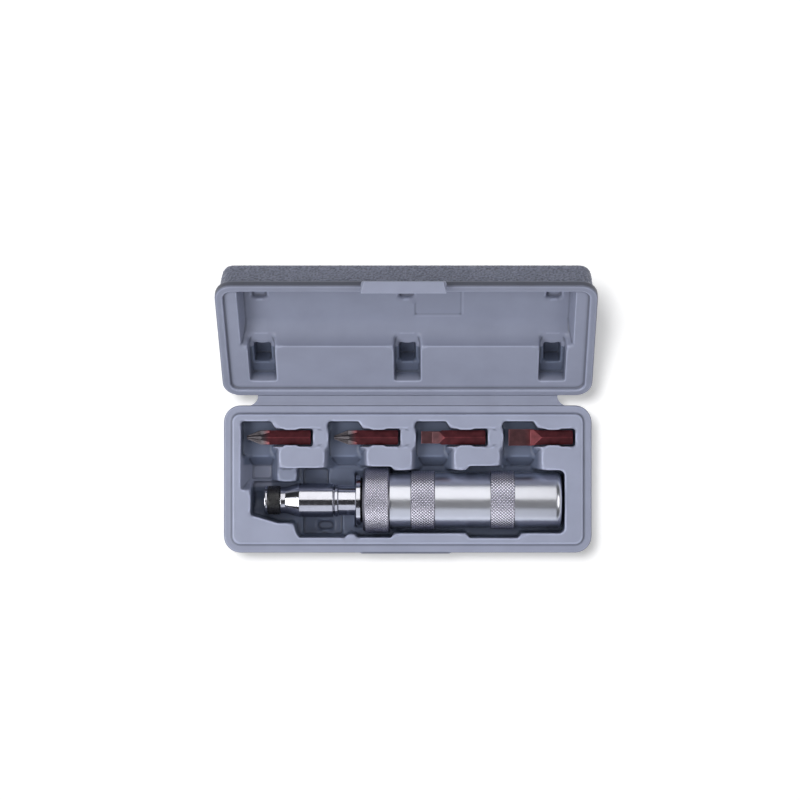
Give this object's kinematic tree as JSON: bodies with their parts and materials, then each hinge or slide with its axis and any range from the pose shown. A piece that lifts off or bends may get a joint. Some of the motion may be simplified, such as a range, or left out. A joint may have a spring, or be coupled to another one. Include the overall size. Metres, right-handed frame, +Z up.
{
  "type": "hand impact driver kit",
  "caption": "Hand impact driver with a knurled sleeve, a drive square, a slip-on holder and hexagonal bits, lying in its hinged blow-moulded plastic case, shown open.",
  "frame": {"origin": "Centre of the flat underside of the case's base, on the surface that it stands on.", "axes": "+Z up; +X along the case from the bit holder to the struck end of the driver; +Y from the latch side to the hinge side, towards the open lid."},
  "size_m": [0.2062, 0.1593, 0.0967],
  "materials": {
    "case_plastic": "blow-moulded polyethylene, smooth inside and stippled outside",
    "chrome": "bright chrome plate on steel",
    "satin_chrome": "satin chrome plate on steel",
    "tool_steel": "plain hardened steel",
    "black_rubber": "black nitrile rubber",
    "bit_finish": "dark red-brown coating on hardened steel"
  },
  "bodies": {
    "base": {"case_base": "case_plastic", "hinge_strip": "case_plastic"},
    "lid_body": {"lid": "case_plastic"},
    "latch_body": {"latch": "case_plastic"},
    "sleeve": {"driver_body": "chrome", "knurled_collar": "chrome", "collar_snap_ring": "tool_steel", "cam_pin": "tool_steel", "main_spring": "tool_steel"},
    "washer": {"thrust_washer": "tool_steel"},
    "anvil": {"spindle": "satin_chrome", "front_seal": "black_rubber", "drive_ball": "tool_steel", "drive_ball_spring": "tool_steel"},
    "holder": {"bit_holder": "satin_chrome", "holder_band": "black_rubber", "holder_ball": "tool_steel"},
    "bit_one": {"cross_bit_left": "bit_finish"},
    "bit_two": {"cross_bit_right": "bit_finish"},
    "bit_three": {"narrow_blade_bit": "bit_finish"},
    "bit_four": {"wide_blade_bit": "bit_finish"}
  },
  "joints": [
    {"name": "lid_hinge", "type": "hinge", "parent": "base", "child": "lid_body", "pos_m": [0, 0.04391, 0.0314], "axis": [-1, 0, 0], "range_deg": [-135, 45], "deforming": ["hinge_strip"]},
    {"name": "latch_flex", "type": "hinge", "parent": "lid_body", "child": "latch_body", "pos_m": [-0.0012, 0.10614, 0.08968], "axis": [-1, 0, 0], "range_deg": [0, 20], "stiffness_Nm_per_rad": 0.4},
    {"name": "driver_lift", "type": "slide", "parent": "base", "child": "sleeve", "axis": [0, 0, 1], "range_m": [0, 0.06]},
    {"name": "impact_stroke", "type": "slide", "parent": "sleeve", "child": "washer", "axis": [1, 0, 0], "range_m": [0, 0.006], "stiffness_N_per_m": 3000, "springref_m": -0.002, "deforming": ["main_spring"]},
    {"name": "anvil_turn", "type": "hinge", "parent": "washer", "child": "anvil", "pos_m": [0, -0.0122, 0.0226], "axis": [1, 0, 0], "range_deg": [0, 18]},
    {"name": "holder_pull", "type": "slide", "parent": "anvil", "child": "holder", "axis": [-1, 0, 0], "range_m": [0, 0.006]},
    {"name": "bit_one_lift", "type": "slide", "parent": "base", "child": "bit_one", "axis": [0, 0, 1], "range_m": [0, 0.05]},
    {"name": "bit_two_lift", "type": "slide", "parent": "base", "child": "bit_two", "axis": [0, 0, 1], "range_m": [0, 0.05]},
    {"name": "bit_three_lift", "type": "slide", "parent": "base", "child": "bit_three", "axis": [0, 0, 1], "range_m": [0, 0.05]},
    {"name": "bit_four_lift", "type": "slide", "parent": "base", "child": "bit_four", "axis": [0, 0, 1], "range_m": [0, 0.05]}
  ],
  "couplings": [
    {"joint": "anvil_turn", "follows": "impact_stroke", "rad_per_m": 52.36}
  ]
}
